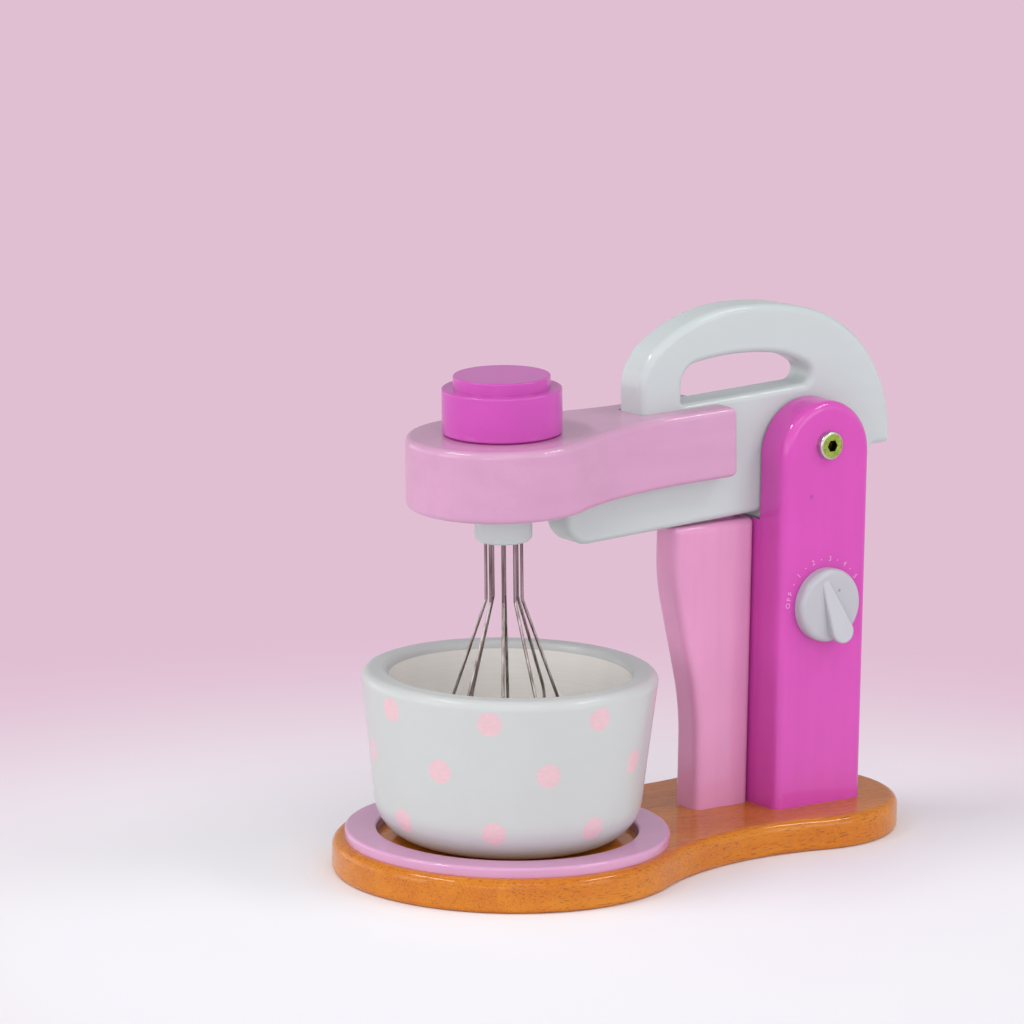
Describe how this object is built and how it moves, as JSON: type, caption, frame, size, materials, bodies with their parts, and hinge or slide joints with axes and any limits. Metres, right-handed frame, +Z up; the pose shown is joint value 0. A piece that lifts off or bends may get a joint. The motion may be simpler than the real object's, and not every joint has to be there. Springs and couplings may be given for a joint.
{
  "type": "toy stand mixer",
  "caption": "Toy stand mixer in painted wood: tilting head with a carrying handle, wire whisk turned by a knob, loose bowl in a ring on the base, and a speed dial.",
  "frame": {"origin": "centre of the bowl's place, on the underside of the base board, which rests on the table", "axes": "+X from the bowl towards the column, +Z up, -Y the side with the dial"},
  "size_m": [0.2882, 0.157, 0.2473],
  "materials": {
    "magenta_paint": "gloss paint on wood",
    "pink_paint": "gloss paint on wood",
    "pale_pink_paint": "gloss paint on wood",
    "white_paint": "satin paint on wood",
    "varnished_wood": "clear varnish",
    "bare_wood": "sanded",
    "wood_screw_steel": "bright zinc",
    "yellow_zinc_steel": "yellow zinc",
    "washer_nylon": "moulded",
    "whisk_wire": "bright wire",
    "dial_plastic": "gloss"
  },
  "bodies": {
    "stand": {"base_board": "varnished_wood", "bowl_ring": "pale_pink_paint", "base_screws": "wood_screw_steel", "cheek_near": "magenta_paint", "cheek_far": "magenta_paint", "column_core": "magenta_paint", "column_dowels": "bare_wood", "front_post": "pink_paint", "pivot_sleeve_nut": "yellow_zinc_steel", "pivot_screw": "yellow_zinc_steel", "pivot_washer_near": "washer_nylon", "pivot_washer_far": "washer_nylon"},
    "tilt_head": {"arm": "white_paint", "head_screws": "wood_screw_steel", "head_block": "pink_paint", "knob_washer": "washer_nylon", "hub_washer": "washer_nylon"},
    "whisk": {"knob_collar": "magenta_paint", "knob_cap": "magenta_paint", "whisk_shaft": "bare_wood", "whisk_hub": "white_paint", "whisk_loop_1": "whisk_wire", "whisk_loop_2": "whisk_wire", "whisk_loop_3": "whisk_wire", "whisk_loop_4": "whisk_wire"},
    "dial": {"dial": "dial_plastic", "dial_washer": "washer_nylon", "dial_screw": "wood_screw_steel"},
    "bowl": {"bowl": "white_paint"}
  },
  "joints": [
    {"name": "arm_tilt", "type": "hinge", "parent": "stand", "child": "tilt_head", "pos_m": [0.1562, 0, 0.1828], "axis": [0, 1, 0], "range_deg": [0, 45]},
    {"name": "whisk_spin", "type": "hinge", "parent": "tilt_head", "child": "whisk", "pos_m": [-0.00571, 0, 0.17743], "axis": [-0.0332, 0, 0.9995], "continuous": true},
    {"name": "dial_turn", "type": "hinge", "parent": "stand", "child": "dial", "pos_m": [0.1562, -0.02755, 0.109], "axis": [0, -1, 0], "range_deg": [-79, 60]},
    {"name": "bowl_lift", "type": "slide", "parent": "stand", "child": "bowl", "axis": [0, 0, 1], "range_m": [0, 0.015]}
  ]
}
